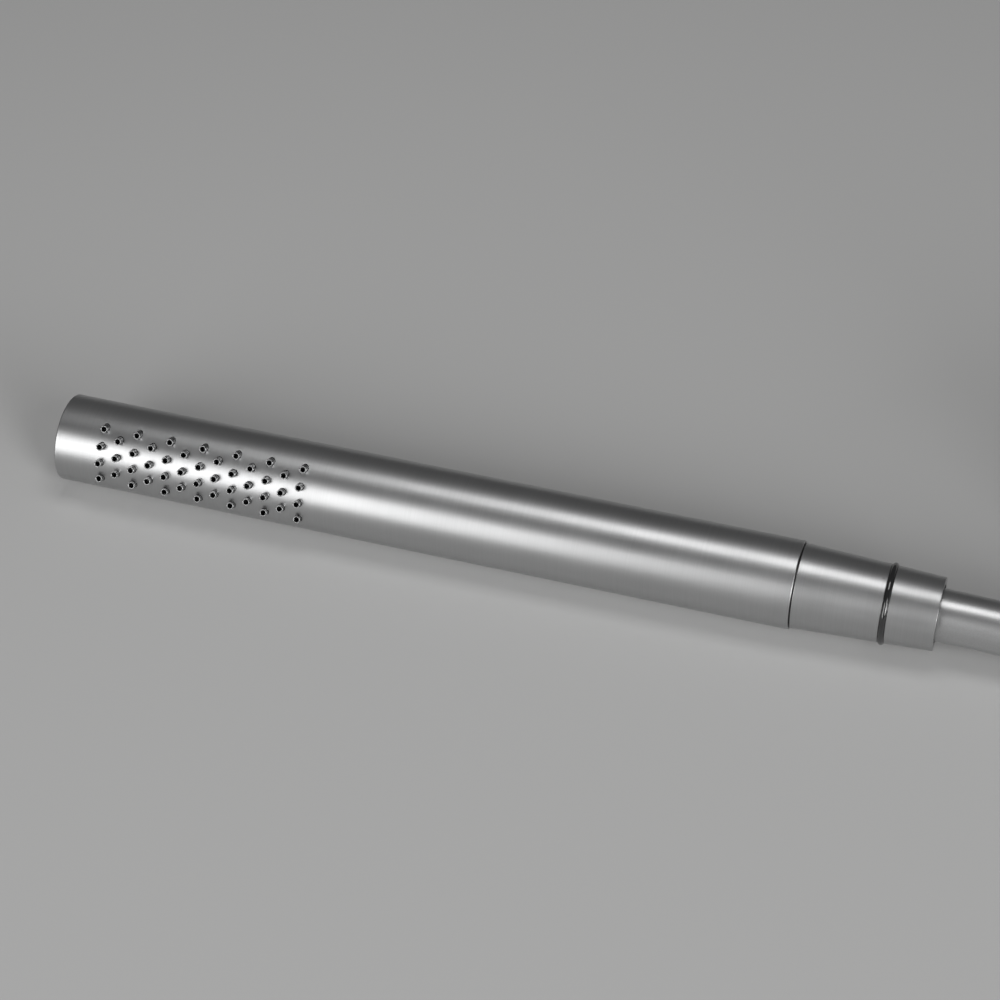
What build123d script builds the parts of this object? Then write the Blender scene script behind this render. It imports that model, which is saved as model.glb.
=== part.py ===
"""A stick-shaped hand shower lying on a floor, with its hose wound into a tied hank beyond it.

Frame: millimetres, +X along the shower from its head to its hose, +Z up, the floor at z = 0, and the origin under
the middle of the shower. Turned pieces are drawn as half sections on a plane through the shower's axis, where the
sketch's x is the place along the shower and its y is the radius.
"""

import os
from math import asin, cos, degrees, pi, radians, sin, sqrt, tan

from build123d import *

# Shower body and hose nut
body_diameter = 25.0
body_wall = 1.0
body_length = 215.5
seam_gap = 0.3
cone_length = 39.2
cone_front_diameter = 23.9
cone_end_diameter = 20.6
edge_bevel = 0.2
grip_ring_place = 25.05
grip_ring_section = 1.75
grip_ring_proud = 0.65

# Nozzle field: staggered rows in a flat grid, all nozzles parallel
nozzle_angle = 60.5
nozzle_columns = 7
nozzle_rows = 7
nozzle_pitch = 10.0
nozzle_row_pitch = 2.45
first_nozzle_place = 14.3
nozzle_reach = 1.9
nozzle_diameter = 2.1
nozzle_bore = 1.44
nozzle_hole_clearance = 0.1

# Pieces inside the body
slip_clearance = 0.05
insert_clearance = 0.1
end_cap_recess = 0.4
end_cap_length = 5.6
end_cap_bevel = 0.5
seal_width = 1.6
seal_depth = 1.3
mat_thickness = 1.2
mat_margin = 6.0
mat_edge_angle = 6.0
carrier_bore = 12.0
carrier_length = 87.0
gallery_depth = 1.2
gallery_inset = 2.2
feed_slot_length = 12.0
feed_slot_width = 6.0
feed_slot_count = 4
water_tube_diameter = 14.0
water_tube_wall = 1.8
water_tube_grip = 9.0
water_tube_seal_depth = 1.0
socket_length = 29.5
socket_web = 5.0
nipple_diameter = 20.8
nipple_length = 9.8
nipple_bevel = 0.6
thread_relief_depth = 1.2
thread_relief_length = 2.0
cartridge_diameter = 15.0
cartridge_wall = 1.2

# Check valve, flow regulator and filter in the socket's bore
valve_length = 12.0
valve_seat_length = 2.0
valve_seat_bore = 8.4
valve_seal_depth = 0.7
guide_length = 2.0
guide_hub_diameter = 4.8
guide_rib_width = 1.4
poppet_diameter = 9.8
poppet_thickness = 2.4
poppet_seat_gap = 0.1
poppet_stem_diameter = 2.5
poppet_stem_over = 1.0
valve_travel = 2.5
spring_wire = 0.45
spring_mean_diameter = 5.4
spring_turns = 3.5
regulator_length = 4.0
regulator_groove_depth = 1.6
regulator_ring_inner = 7.2
regulator_ring_outer = 11.2
regulator_slot_count = 8
regulator_slot_width = 1.2
regulator_slot_height = 1.6
filter_thickness = 0.8
filter_mesh_pitch = 2.0
filter_mesh_opening = 1.3
filter_mesh_count = 5
cartridge_gap = 0.2

# Swivel in the hose nut
washer_thickness = 2.0
washer_bore = 12.0
bush_diameter = 19.8
bush_length = 6.1
swivel_gap = 0.3
spigot_diameter = 12.0
spigot_recess = 1.0
collar_diameter = 19.2
collar_length = 2.4
stem_bore = 7.6
stem_tail_inset = 3.0
nut_hose_bore = 16.4

# Hose and its put-away hank
hose_diameter = 14.8
hose_bore = 10.0
hose_seat_gap = 0.8
sleeve_wall = 0.35
sleeve_length = 12.0
lead_run = 46.6
hank_gap = 45.0
hank_bevel = 4.3
hank_straight = 121.4
fold_radius = 44.4
hank_side_y = -3.0
hank_turns_below = 2
tie_thickness = 1.2
tie_clearance = 0.1
tie_width = 11.0
tie_inset = 7.0

# The hose's far end, with its union nut
tail_run = 24.3
tail_runs = 3
far_stem_tail = 14.0
far_collar_diameter = 18.0
far_collar_place = 0.8
far_nut_diameter = 24.0
far_nut_thread_diameter = 18.64
far_nut_thread_length = 8.6
far_nut_relief_diameter = 19.4
far_nut_relief_over = 0.4
far_nut_shoulder = 3.0
far_nut_bevel = 0.8
far_nut_lift = 0.3

# Places along the shower, worked out from the sizes above
body_radius = body_diameter / 2
bore_radius = body_radius - body_wall
axis_height = body_radius
total_length = body_length + seam_gap + cone_length
head_x = -total_length / 2
tube_end_x = head_x + body_length
cone_x = tube_end_x + seam_gap
end_x = cone_x + cone_length
shower_axis = Axis((0, 0, axis_height), (1, 0, 0))


def profile_plane(angle):
    """The plane through the shower's axis whose sketch y points outwards, angle degrees from up towards -Y."""
    turn = radians(angle)
    return Plane(origin=(0, 0, axis_height), x_dir=(1, 0, 0), z_dir=(0, -cos(turn), -sin(turn)))


def cross_plane(x):
    """The plane square to the shower's axis at x, centred on the axis."""
    return Plane(origin=(x, 0, axis_height), x_dir=(0, 1, 0), z_dir=(1, 0, 0))


def ring(start, end, inner, outer, mode=Mode.ADD):
    """Half section of a ring or tube from start to end along the axis, between two radii."""
    with Locations(((start + end) / 2, (inner + outer) / 2)):
        Rectangle(end - start, outer - inner, mode=mode)


def corner_radii(points):
    """Radius of each bend of a route: 0.45 of the shorter run, over the tangent of half the turn."""
    radii = []
    for before, corner, after in zip(points, points[1:], points[2:]):
        run_in = Vector(*corner) - Vector(*before)
        run_out = Vector(*after) - Vector(*corner)
        half_turn = radians(run_in.get_angle(run_out)) / 2
        radii.append(0.45 * min(run_in.length, run_out.length) / tan(half_turn))
    return radii


def save(builder, name):
    """Labels a finished piece and writes it under its own name."""
    builder.part.label = name
    export_step(builder.part, f"parts/{name}.step")


os.makedirs("parts", exist_ok=True)
outwards = profile_plane(0)

# Nozzle field
nozzle_turn = radians(nozzle_angle)
nozzle_plane = Plane(
    origin=(0, 0, axis_height), x_dir=(1, 0, 0), z_dir=(0, -sin(nozzle_turn), cos(nozzle_turn))
)
field_x = head_x + first_nozzle_place + nozzle_pitch * (nozzle_columns - 1) / 2
field_half_width = nozzle_row_pitch * (nozzle_rows - 1) / 2
field_half_length = nozzle_pitch * (nozzle_columns - 1) / 2
nozzle_radius = nozzle_diameter / 2
hole_radius = nozzle_radius + nozzle_hole_clearance
mat_outer_radius = bore_radius - insert_clearance
mat_inner_radius = mat_outer_radius - mat_thickness
gallery_angle = degrees(asin((field_half_width + nozzle_radius) / mat_inner_radius))
mat_angle = gallery_angle + mat_edge_angle
mat_start_x = field_x - field_half_length - mat_margin
mat_end_x = field_x + field_half_length + mat_margin

with BuildPart() as body_tube:
    with BuildSketch(outwards) as tube_section:
        ring(head_x, tube_end_x, bore_radius, body_radius)
        chamfer(tube_section.vertices().group_by(Axis.Y)[-1], edge_bevel)
    revolve(axis=shower_axis)
    with BuildSketch(nozzle_plane):
        with Locations((field_x, 0)):
            with GridLocations(nozzle_pitch, 2 * nozzle_row_pitch, nozzle_columns, (nozzle_rows + 1) // 2):
                Circle(hole_radius)
            with GridLocations(nozzle_pitch, 2 * nozzle_row_pitch, nozzle_columns - 1, nozzle_rows // 2):
                Circle(hole_radius)
    extrude(amount=body_diameter, mode=Mode.SUBTRACT)
save(body_tube, "body_tube")

with BuildPart() as nozzle_mat:
    with BuildSketch(profile_plane(nozzle_angle - mat_angle)):
        ring(mat_start_x, mat_end_x, mat_inner_radius, mat_outer_radius)
    revolve(axis=shower_axis, revolution_arc=2 * mat_angle)
    with BuildSketch(nozzle_plane):
        with Locations((field_x, 0)):
            with GridLocations(nozzle_pitch, 2 * nozzle_row_pitch, nozzle_columns, (nozzle_rows + 1) // 2):
                Circle(nozzle_radius)
            with GridLocations(nozzle_pitch, 2 * nozzle_row_pitch, nozzle_columns - 1, nozzle_rows // 2):
                Circle(nozzle_radius)
    extrude(amount=body_diameter, mode=Mode.SUBTRACT)
save(nozzle_mat, "nozzle_mat")

# Steel nozzle tubes: sealed in the mat and cut flush with its inner face, their tips following the body's curve
with BuildPart(nozzle_plane) as nozzle_tubes:
    for row in range(nozzle_rows):
        across = row * nozzle_row_pitch - field_half_width
        in_row = nozzle_columns - row % 2
        root = sqrt(mat_inner_radius**2 - (abs(across) + nozzle_radius) ** 2)
        tip = sqrt(body_radius**2 - across**2) + nozzle_reach
        with Locations((field_x, across, root)):
            with GridLocations(nozzle_pitch, 0, in_row, 1):
                Cylinder(nozzle_radius, tip - root, align=(Align.CENTER, Align.CENTER, Align.MIN))
                Cylinder(
                    nozzle_bore / 2,
                    tip - root,
                    align=(Align.CENTER, Align.CENTER, Align.MIN),
                    mode=Mode.SUBTRACT,
                )
    with BuildSketch(outwards):
        ring(mat_start_x, mat_end_x, 0, mat_inner_radius)
    revolve(axis=shower_axis, mode=Mode.SUBTRACT)
save(nozzle_tubes, "nozzle_tubes")

# Head end cap with its seal
cap_start_x = head_x + end_cap_recess
cap_end_x = cap_start_x + end_cap_length
cap_seal_x = (cap_start_x + cap_end_x) / 2
insert_radius = bore_radius - insert_clearance
seal_floor = bore_radius - seal_depth

with BuildPart() as head_end_cap:
    with BuildSketch(outwards) as cap_section:
        ring(cap_start_x, cap_end_x, 0, insert_radius)
        chamfer(cap_section.vertices().group_by(Axis.Y)[-1].sort_by(Axis.X)[0], end_cap_bevel)
        ring(cap_seal_x - seal_width / 2, cap_seal_x + seal_width / 2, seal_floor, bore_radius, Mode.SUBTRACT)
    revolve(axis=shower_axis)
save(head_end_cap, "head_end_cap")

with BuildPart() as end_cap_seal:
    with BuildSketch(outwards):
        ring(cap_seal_x - seal_width / 2, cap_seal_x + seal_width / 2, seal_floor, bore_radius)
    revolve(axis=shower_axis)
save(end_cap_seal, "end_cap_seal")

# Carrier that holds the mat against the tube and feeds its nozzles through a gallery
carrier_start_x = cap_end_x
carrier_end_x = carrier_start_x + carrier_length
water_tube_radius = water_tube_diameter / 2
water_tube_seat = water_tube_radius + slip_clearance
gallery_radius = mat_inner_radius - gallery_depth
feed_pitch = (mat_end_x - mat_start_x - 2 * gallery_inset) / feed_slot_count

with BuildPart() as nozzle_carrier:
    with BuildSketch(outwards):
        ring(carrier_start_x, carrier_end_x, carrier_bore / 2, insert_radius)
        ring(carrier_end_x - water_tube_grip, carrier_end_x, 0, water_tube_seat, Mode.SUBTRACT)
    revolve(axis=shower_axis)
    with BuildSketch(profile_plane(nozzle_angle - mat_angle)):
        ring(mat_start_x, mat_end_x, mat_inner_radius, body_radius)
    revolve(axis=shower_axis, revolution_arc=2 * mat_angle, mode=Mode.SUBTRACT)
    with BuildSketch(profile_plane(nozzle_angle - gallery_angle)):
        ring(mat_start_x + gallery_inset, mat_end_x - gallery_inset, gallery_radius, body_radius)
    revolve(axis=shower_axis, revolution_arc=2 * gallery_angle, mode=Mode.SUBTRACT)
    with BuildSketch(nozzle_plane):
        with Locations((field_x, 0)):
            with GridLocations(feed_pitch, 0, feed_slot_count, 1):
                SlotOverall(feed_slot_length, feed_slot_width)
    extrude(amount=body_radius, mode=Mode.SUBTRACT)
save(nozzle_carrier, "nozzle_carrier")

# Inlet socket: closes the handle's hose end and carries the hose thread
socket_start_x = tube_end_x - socket_length
nipple_end_x = tube_end_x + nipple_length
socket_radius = bore_radius - slip_clearance
socket_seal_x = socket_start_x + socket_length / 4
tube_seat_end_x = socket_start_x + water_tube_grip
web_end_x = tube_seat_end_x + socket_web
cartridge_radius = cartridge_diameter / 2
cartridge_seat = cartridge_radius + slip_clearance
water_tube_bore = water_tube_radius - water_tube_wall

with BuildPart() as inlet_socket:
    with BuildSketch(outwards) as socket_section:
        ring(tube_end_x, nipple_end_x, water_tube_bore, nipple_diameter / 2)
        chamfer(socket_section.vertices().sort_by(Axis.Y)[-2:].sort_by(Axis.X)[-1], nipple_bevel)
        ring(socket_start_x, tube_end_x, water_tube_bore, socket_radius)
        ring(socket_start_x, tube_seat_end_x, 0, water_tube_seat, Mode.SUBTRACT)
        ring(web_end_x, nipple_end_x, 0, cartridge_seat, Mode.SUBTRACT)
        ring(
            socket_seal_x - seal_width / 2, socket_seal_x + seal_width / 2, seal_floor, bore_radius, Mode.SUBTRACT
        )
        ring(
            tube_end_x,
            tube_end_x + thread_relief_length,
            nipple_diameter / 2 - thread_relief_depth,
            nipple_diameter / 2,
            Mode.SUBTRACT,
        )
    revolve(axis=shower_axis)
save(inlet_socket, "inlet_socket")

with BuildPart() as socket_seal:
    with BuildSketch(outwards):
        ring(socket_seal_x - seal_width / 2, socket_seal_x + seal_width / 2, seal_floor, bore_radius)
    revolve(axis=shower_axis)
save(socket_seal, "socket_seal")

# Water tube through the handle, sealed at both ends
water_tube_start_x = carrier_end_x - water_tube_grip
water_tube_seal_floor = water_tube_radius - water_tube_seal_depth
water_tube_seal_places = [
    water_tube_start_x + water_tube_grip / 2,
    tube_seat_end_x - water_tube_grip / 2,
]

with BuildPart() as water_tube:
    with BuildSketch(outwards):
        ring(water_tube_start_x, tube_seat_end_x, water_tube_bore, water_tube_radius)
        for place in water_tube_seal_places:
            ring(
                place - seal_width / 2,
                place + seal_width / 2,
                water_tube_seal_floor,
                water_tube_seat,
                Mode.SUBTRACT,
            )
    revolve(axis=shower_axis)
save(water_tube, "water_tube")

with BuildPart() as water_tube_seals:
    with BuildSketch(outwards):
        for place in water_tube_seal_places:
            ring(place - seal_width / 2, place + seal_width / 2, water_tube_seal_floor, water_tube_seat)
    revolve(axis=shower_axis)
save(water_tube_seals, "water_tube_seals")

# Check valve: water from the hose pushes the poppet towards the head, against the spring
valve_start_x = web_end_x
valve_end_x = valve_start_x + valve_length
guide_end_x = valve_start_x + guide_length
seat_face_x = valve_end_x - valve_seat_length
poppet_face_x = seat_face_x - poppet_seat_gap
poppet_back_x = poppet_face_x - poppet_thickness
shell_inner = cartridge_radius - cartridge_wall
valve_seal_x = seat_face_x + valve_seat_length / 2
valve_seal_width = valve_seat_length / 2
valve_seal_floor = cartridge_radius - valve_seal_depth

with BuildPart() as check_valve_body:
    with BuildSketch(outwards):
        ring(valve_start_x, valve_end_x, shell_inner, cartridge_radius)
        ring(seat_face_x, valve_end_x, valve_seat_bore / 2, cartridge_radius)
        ring(
            valve_seal_x - valve_seal_width / 2,
            valve_seal_x + valve_seal_width / 2,
            valve_seal_floor,
            cartridge_seat,
            Mode.SUBTRACT,
        )
    revolve(axis=shower_axis)
    with BuildSketch(cross_plane(valve_start_x)):
        Circle(guide_hub_diameter / 2)
        with PolarLocations(shell_inner / 2, 3):
            Rectangle(shell_inner + cartridge_wall, guide_rib_width)
        Circle(poppet_stem_diameter / 2 + slip_clearance, mode=Mode.SUBTRACT)
    extrude(amount=guide_length)
save(check_valve_body, "check_valve_body")

with BuildPart() as check_valve_seal:
    with BuildSketch(outwards):
        ring(
            valve_seal_x - valve_seal_width / 2,
            valve_seal_x + valve_seal_width / 2,
            valve_seal_floor,
            cartridge_seat,
        )
    revolve(axis=shower_axis)
save(check_valve_seal, "check_valve_seal")

with BuildPart() as check_valve_poppet:
    with BuildSketch(outwards) as poppet_section:
        ring(poppet_back_x, poppet_face_x, 0, poppet_diameter / 2)
        chamfer(poppet_section.vertices().group_by(Axis.Y)[-1].sort_by(Axis.X)[0], poppet_thickness / 2)
        ring(valve_start_x - poppet_stem_over, poppet_back_x, 0, poppet_stem_diameter / 2)
    revolve(axis=shower_axis)
save(check_valve_poppet, "check_valve_poppet")

spring_space = poppet_back_x - guide_end_x - 2 * slip_clearance
spring_height = spring_space - spring_wire
spring_start_x = guide_end_x + slip_clearance + spring_wire / 2

with BuildPart() as check_valve_spring:
    with BuildLine() as coil:
        Helix(
            spring_height / spring_turns,
            spring_height,
            spring_mean_diameter / 2,
            center=(spring_start_x, 0, axis_height),
            direction=(1, 0, 0),
        )
    with BuildSketch(Plane(origin=coil.line @ 0, z_dir=coil.line % 0)):
        Rectangle(spring_wire, spring_wire)
    sweep(is_frenet=True)
save(check_valve_spring, "check_valve_spring")

# Flow regulator, with an elastic ring in an annular groove, and the filter ahead of it
regulator_start_x = valve_end_x + cartridge_gap
regulator_end_x = regulator_start_x + regulator_length
groove_start_x = regulator_end_x - regulator_groove_depth
groove_middle = (regulator_ring_inner + regulator_ring_outer) / 4

with BuildPart() as flow_regulator:
    with BuildSketch(outwards):
        ring(regulator_start_x, regulator_end_x, 0, cartridge_radius)
        ring(
            groove_start_x,
            regulator_end_x,
            regulator_ring_inner / 2,
            regulator_ring_outer / 2,
            Mode.SUBTRACT,
        )
    revolve(axis=shower_axis)
    with BuildSketch(cross_plane(regulator_start_x)):
        with PolarLocations(groove_middle, regulator_slot_count):
            Rectangle(regulator_slot_height, regulator_slot_width)
    extrude(amount=regulator_length, mode=Mode.SUBTRACT)
save(flow_regulator, "flow_regulator")

with BuildPart() as regulator_ring:
    with BuildSketch(outwards):
        ring(groove_start_x, regulator_end_x, regulator_ring_inner / 2, regulator_ring_outer / 2)
    revolve(axis=shower_axis)
save(regulator_ring, "regulator_ring")

filter_start_x = regulator_end_x + cartridge_gap

with BuildPart() as filter_screen:
    with BuildSketch(cross_plane(filter_start_x)):
        Circle(cartridge_radius)
        with GridLocations(filter_mesh_pitch, filter_mesh_pitch, filter_mesh_count, filter_mesh_count):
            Rectangle(filter_mesh_opening, filter_mesh_opening, mode=Mode.SUBTRACT)
    extrude(amount=filter_thickness)
save(filter_screen, "filter_screen")

# Conical hose nut with its grip ring
cone_front_radius = cone_front_diameter / 2
cone_end_radius = cone_end_diameter / 2
cone_slope = (cone_front_radius - cone_end_radius) / cone_length
grip_ring_x = cone_x + grip_ring_place
grip_ring_radius = grip_ring_section / 2
grip_ring_centre = cone_front_radius - cone_slope * grip_ring_place + grip_ring_proud - grip_ring_radius
thread_end_x = nipple_end_x + washer_thickness
bush_end_x = thread_end_x + bush_length
collar_start_x = bush_end_x + swivel_gap
collar_end_x = collar_start_x + collar_length
shoulder_x = collar_end_x + swivel_gap
nut_thread_radius = nipple_diameter / 2 + slip_clearance
bush_seat = bush_diameter / 2 + slip_clearance

with BuildPart() as cone_nut:
    with BuildSketch(outwards) as nut_section:
        with BuildLine():
            Polyline(
                (cone_x, nut_thread_radius),
                (cone_x, cone_front_radius),
                (end_x, cone_end_radius),
                (end_x, nut_hose_bore / 2),
                (shoulder_x, nut_hose_bore / 2),
                (shoulder_x, bush_seat),
                (thread_end_x, bush_seat),
                (thread_end_x, nut_thread_radius),
                close=True,
            )
        make_face()
        chamfer(nut_section.vertices().sort_by(Axis.Y)[-1], edge_bevel)
        chamfer(nut_section.vertices().group_by(Axis.X)[-1].sort_by(Axis.Y)[-1], edge_bevel)
        with Locations((grip_ring_x, grip_ring_centre + grip_ring_section / 2)):
            Rectangle(grip_ring_section + 2 * slip_clearance, 2 * grip_ring_section, mode=Mode.SUBTRACT)
    revolve(axis=shower_axis)
save(cone_nut, "cone_nut")

with BuildPart() as grip_o_ring:
    with BuildSketch(outwards):
        with Locations((grip_ring_x, grip_ring_centre)):
            Circle(grip_ring_radius)
    revolve(axis=shower_axis)
save(grip_o_ring, "grip_o_ring")

# Swivel: the hose's stem turns in a bush that the nut clamps against the washer
with BuildPart() as hose_washer:
    with BuildSketch(outwards):
        ring(nipple_end_x, thread_end_x, washer_bore / 2, nipple_diameter / 2)
    revolve(axis=shower_axis)
save(hose_washer, "hose_washer")

with BuildPart() as swivel_bush:
    with BuildSketch(outwards):
        ring(thread_end_x, bush_end_x, spigot_diameter / 2 + slip_clearance, bush_diameter / 2)
    revolve(axis=shower_axis)
save(swivel_bush, "swivel_bush")

stem_seal_x = thread_end_x + spigot_recess + (bush_length - spigot_recess) / 2
stem_seal_floor = spigot_diameter / 2 - water_tube_seal_depth
hose_start_x = shoulder_x + hose_seat_gap - swivel_gap

with BuildPart() as hose_stem:
    with BuildSketch(outwards):
        ring(thread_end_x + spigot_recess, collar_start_x, stem_bore / 2, spigot_diameter / 2)
        ring(collar_start_x, collar_end_x, stem_bore / 2, collar_diameter / 2)
        ring(collar_end_x, end_x - stem_tail_inset, stem_bore / 2, hose_bore / 2)
        ring(
            stem_seal_x - seal_width / 2,
            stem_seal_x + seal_width / 2,
            stem_seal_floor,
            spigot_diameter / 2,
            Mode.SUBTRACT,
        )
    revolve(axis=shower_axis)
save(hose_stem, "hose_stem")

with BuildPart() as stem_seal:
    with BuildSketch(outwards):
        ring(stem_seal_x - seal_width / 2, stem_seal_x + seal_width / 2, stem_seal_floor, spigot_diameter / 2)
    revolve(axis=shower_axis)
save(stem_seal, "stem_seal")

hose_radius = hose_diameter / 2

with BuildPart() as crimp_sleeve:
    with BuildSketch(outwards):
        ring(hose_start_x, hose_start_x + sleeve_length, hose_radius, hose_radius + sleeve_wall)
    revolve(axis=shower_axis)
save(crimp_sleeve, "crimp_sleeve")

# Hank: two whole turns below and part of a third on top, each a long loop with round ends
near_fold_x = end_x + hank_gap + fold_radius + hose_radius
far_fold_x = near_fold_x + hank_straight
fold_y = hank_side_y + fold_radius
back_side_y = hank_side_y + 2 * fold_radius
hank_floor = tie_thickness + tie_clearance
layer_z = [hank_floor + hose_radius + layer * hose_diameter for layer in range(hank_turns_below + 1)]
hank_step_z = hank_floor + hank_turns_below * hose_diameter
hank_top_z = hank_step_z + hose_diameter


def strand_plane(x, y):
    """The plane square to a straight side of the hank, with its sketch y up from the floor."""
    return Plane(origin=(x, y, 0), x_dir=(0, 1, 0), z_dir=(1, 0, 0))


def strands(low, high, grow=0):
    """Bevelled section through stacked turns of the hank from one height to another, grown by a distance."""
    half = hose_radius + grow
    bevel = hank_bevel + (2 - sqrt(2)) * grow
    Polygon(
        (bevel - half, low - grow),
        (half - bevel, low - grow),
        (half, low - grow + bevel),
        (half, high + grow - bevel),
        (half - bevel, high + grow),
        (bevel - half, high + grow),
        (-half, high + grow - bevel),
        (-half, low - grow + bevel),
        align=None,
    )


near_fold_axis = Axis((near_fold_x, fold_y, 0), (0, 0, 1))
far_fold_axis = Axis((far_fold_x, fold_y, 0), (0, 0, 1))

with BuildPart() as hose_hank:
    with BuildSketch(strand_plane(near_fold_x, hank_side_y), strand_plane(near_fold_x, back_side_y)):
        strands(hank_floor, hank_step_z)
    extrude(amount=hank_straight)
    with BuildSketch(strand_plane(far_fold_x, hank_side_y)):
        strands(hank_floor, hank_step_z)
    revolve(axis=far_fold_axis, revolution_arc=180)
    with BuildSketch(strand_plane(near_fold_x, back_side_y)):
        strands(hank_floor, hank_step_z)
    revolve(axis=near_fold_axis, revolution_arc=180)
save(hose_hank, "hose_hank")

with BuildPart() as hose_hank_top:
    with BuildSketch(strand_plane(near_fold_x, hank_side_y)):
        strands(hank_step_z, hank_top_z)
    extrude(amount=hank_straight)
    with BuildSketch(strand_plane(far_fold_x, hank_side_y)):
        strands(hank_step_z, hank_top_z)
    revolve(axis=far_fold_axis, revolution_arc=180)
save(hose_hank_top, "hose_hank_top")

tie_places = [
    (near_fold_x + hank_straight / 2, hank_side_y),
    (far_fold_x - tie_inset, back_side_y),
]

with BuildPart() as hank_ties:
    for tie_x, tie_y in tie_places:
        with BuildSketch(strand_plane(tie_x, tie_y)):
            strands(hank_floor, hank_top_z, tie_clearance + tie_thickness)
        extrude(amount=tie_width / 2, both=True)
        with BuildSketch(strand_plane(tie_x, tie_y)):
            strands(hank_floor, hank_top_z, tie_clearance)
        extrude(amount=tie_width / 2, both=True, mode=Mode.SUBTRACT)
save(hank_ties, "hank_ties")

# Hose outside the hank: from the nut down to the floor, and from the top turn to the far nut
far_axis_z = hank_step_z + far_nut_diameter / 2 + far_nut_lift
hose_end_x = far_fold_x - tail_runs * tail_run
lead_route = [
    (hose_start_x, 0, axis_height),
    (hose_start_x + lead_run, 0, axis_height),
    (hose_start_x + 2 * lead_run, hank_side_y, layer_z[0]),
    (hose_start_x + 3 * lead_run, hank_side_y, layer_z[0]),
]
tail_route = [
    (far_fold_x, back_side_y, layer_z[-1]),
    (far_fold_x - tail_run, back_side_y, layer_z[-1]),
    (far_fold_x - 2 * tail_run, back_side_y, far_axis_z),
    (hose_end_x, back_side_y, far_axis_z),
]

hose_length = 0

with BuildPart() as hose:
    for route in (lead_route, tail_route):
        with BuildLine() as hose_line:
            FilletPolyline(*route, radius=corner_radii(route))
        with BuildSketch(Plane(origin=hose_line.line @ 0, z_dir=hose_line.line % 0)):
            Circle(hose_radius)
            Circle(hose_bore / 2, mode=Mode.SUBTRACT)
        sweep(path=hose_line.line)
        hose_length += sum(stretch.length for stretch in hose_line.edges())
        print("hose bend radii", [round(radius, 1) for radius in corner_radii(route)])
save(hose, "hose")
section_area = pi * (hose_radius**2 - (hose_bore / 2) ** 2)
print("hose volume", round(hose.part.volume), "section times length", round(section_area * hose_length))

# Far end of the hose: stem, sleeve, washer and union nut
far_plane = Plane(origin=(hose_end_x, back_side_y, far_axis_z), x_dir=(-1, 0, 0), z_dir=(0, 1, 0))
far_axis = Axis((hose_end_x, back_side_y, far_axis_z), (-1, 0, 0))
far_collar_end = far_collar_place + collar_length
far_washer_end = far_collar_end + washer_thickness
far_shoulder_end = far_collar_place - swivel_gap
far_relief_end = far_washer_end + far_nut_relief_over
far_mouth = far_relief_end + far_nut_thread_length
far_nut_back = far_shoulder_end - far_nut_shoulder

with BuildPart() as far_stem:
    with BuildSketch(far_plane):
        ring(-far_stem_tail, far_collar_place, stem_bore / 2, hose_bore / 2)
        ring(far_collar_place, far_collar_end, stem_bore / 2, far_collar_diameter / 2)
    revolve(axis=far_axis)
save(far_stem, "far_stem")

with BuildPart() as far_crimp_sleeve:
    with BuildSketch(far_plane):
        ring(-sleeve_length, 0, hose_radius, hose_radius + sleeve_wall)
    revolve(axis=far_axis)
save(far_crimp_sleeve, "far_crimp_sleeve")

with BuildPart() as far_washer:
    with BuildSketch(far_plane):
        ring(far_collar_end, far_washer_end, washer_bore / 2, far_collar_diameter / 2)
    revolve(axis=far_axis)
save(far_washer, "far_washer")

with BuildPart() as far_nut:
    with BuildSketch(far_plane) as far_nut_section:
        ring(far_nut_back, far_mouth, nut_hose_bore / 2, far_nut_diameter / 2)
        chamfer(far_nut_section.vertices().group_by(Axis.Y)[-1], far_nut_bevel)
        ring(far_relief_end, far_mouth, 0, far_nut_thread_diameter / 2, Mode.SUBTRACT)
        ring(far_shoulder_end, far_relief_end, 0, far_nut_relief_diameter / 2, Mode.SUBTRACT)
    revolve(axis=far_axis)
save(far_nut, "far_nut")
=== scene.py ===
"""Looks of the stick hand shower: brushed steel body, nozzle field, hose nut, grip ring and tied hose.

Lengths are metres in the shared frame: +X from the head to the hose, +Z up, the floor at z = 0.
"""

import math

import bmesh
import bpy
from mathutils import Matrix, Vector


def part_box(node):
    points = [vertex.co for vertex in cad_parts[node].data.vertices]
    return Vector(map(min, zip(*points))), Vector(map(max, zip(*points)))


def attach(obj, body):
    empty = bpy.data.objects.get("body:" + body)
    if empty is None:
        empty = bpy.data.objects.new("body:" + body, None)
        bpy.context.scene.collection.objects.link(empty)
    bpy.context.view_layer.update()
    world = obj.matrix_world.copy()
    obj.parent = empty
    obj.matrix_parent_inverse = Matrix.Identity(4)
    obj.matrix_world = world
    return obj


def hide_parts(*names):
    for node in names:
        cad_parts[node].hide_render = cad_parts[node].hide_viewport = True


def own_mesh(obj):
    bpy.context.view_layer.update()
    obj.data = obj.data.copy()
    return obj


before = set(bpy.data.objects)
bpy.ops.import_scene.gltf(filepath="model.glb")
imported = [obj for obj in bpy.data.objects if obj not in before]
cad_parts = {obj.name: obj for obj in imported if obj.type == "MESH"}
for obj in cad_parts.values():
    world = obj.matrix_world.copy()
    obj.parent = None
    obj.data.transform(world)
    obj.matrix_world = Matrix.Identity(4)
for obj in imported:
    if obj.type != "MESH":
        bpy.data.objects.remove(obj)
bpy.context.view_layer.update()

MM = 0.001
ALONG = Vector((1, 0, 0))

# Places of the solids, read from the frame
tube_low, tube_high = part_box("body_tube")
nut_low, nut_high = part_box("cone_nut")
ring_low, ring_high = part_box("grip_o_ring")
cap_low, cap_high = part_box("head_end_cap")
spring_low, spring_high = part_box("check_valve_spring")
sleeve_low, sleeve_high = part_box("far_crimp_sleeve")
far_nut_low, far_nut_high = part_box("far_nut")

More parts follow.
